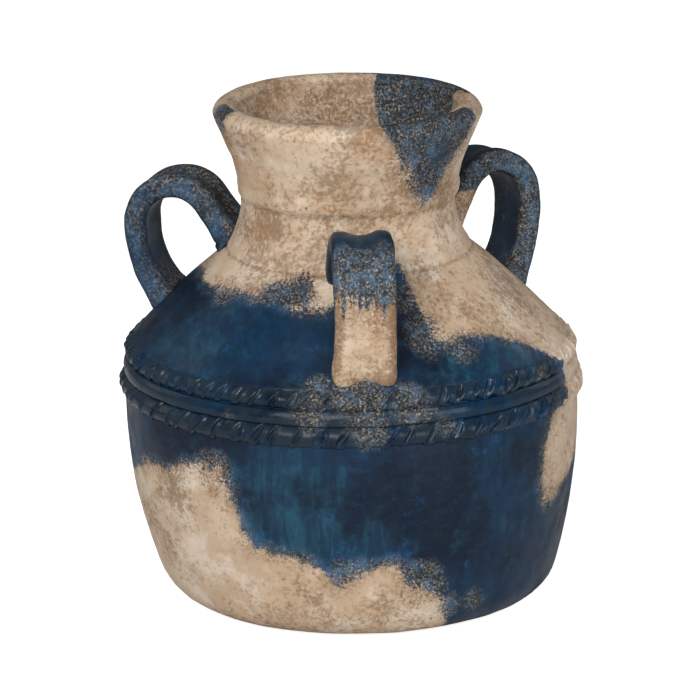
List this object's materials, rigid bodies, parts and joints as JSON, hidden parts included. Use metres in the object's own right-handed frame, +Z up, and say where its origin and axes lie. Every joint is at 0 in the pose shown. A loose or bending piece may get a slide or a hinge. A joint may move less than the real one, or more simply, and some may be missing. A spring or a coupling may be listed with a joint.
{
  "type": "amphora",
  "caption": "Squat round-bellied clay jar with a flared neck, arched strap handles and impressed rope bands on the shoulder, part glazed in mottled blue.",
  "frame": {"origin": "centre of the round resting face, on the jar's axis", "axes": "+Z up along the jar's axis, -Y towards the front handle"},
  "size_m": [0.3116, 0.3116, 0.34],
  "materials": {
    "buff_clay": "matt fired clay with brown specks",
    "blue_glaze": "satin mottled blue glaze that leaves patches of buff clay bare"
  },
  "bodies": {
    "root": {"floor_slab": "buff_clay", "lower_body": "blue_glaze", "shoulder": "blue_glaze", "lower_rope": "blue_glaze", "belt": "blue_glaze", "upper_rope": "blue_glaze", "neck_collar": "buff_clay", "neck_ridge": "buff_clay", "flared_mouth": "buff_clay", "rim": "buff_clay", "handle_front": "blue_glaze", "handle_right": "blue_glaze", "handle_left": "blue_glaze"}
  },
  "joints": []
}
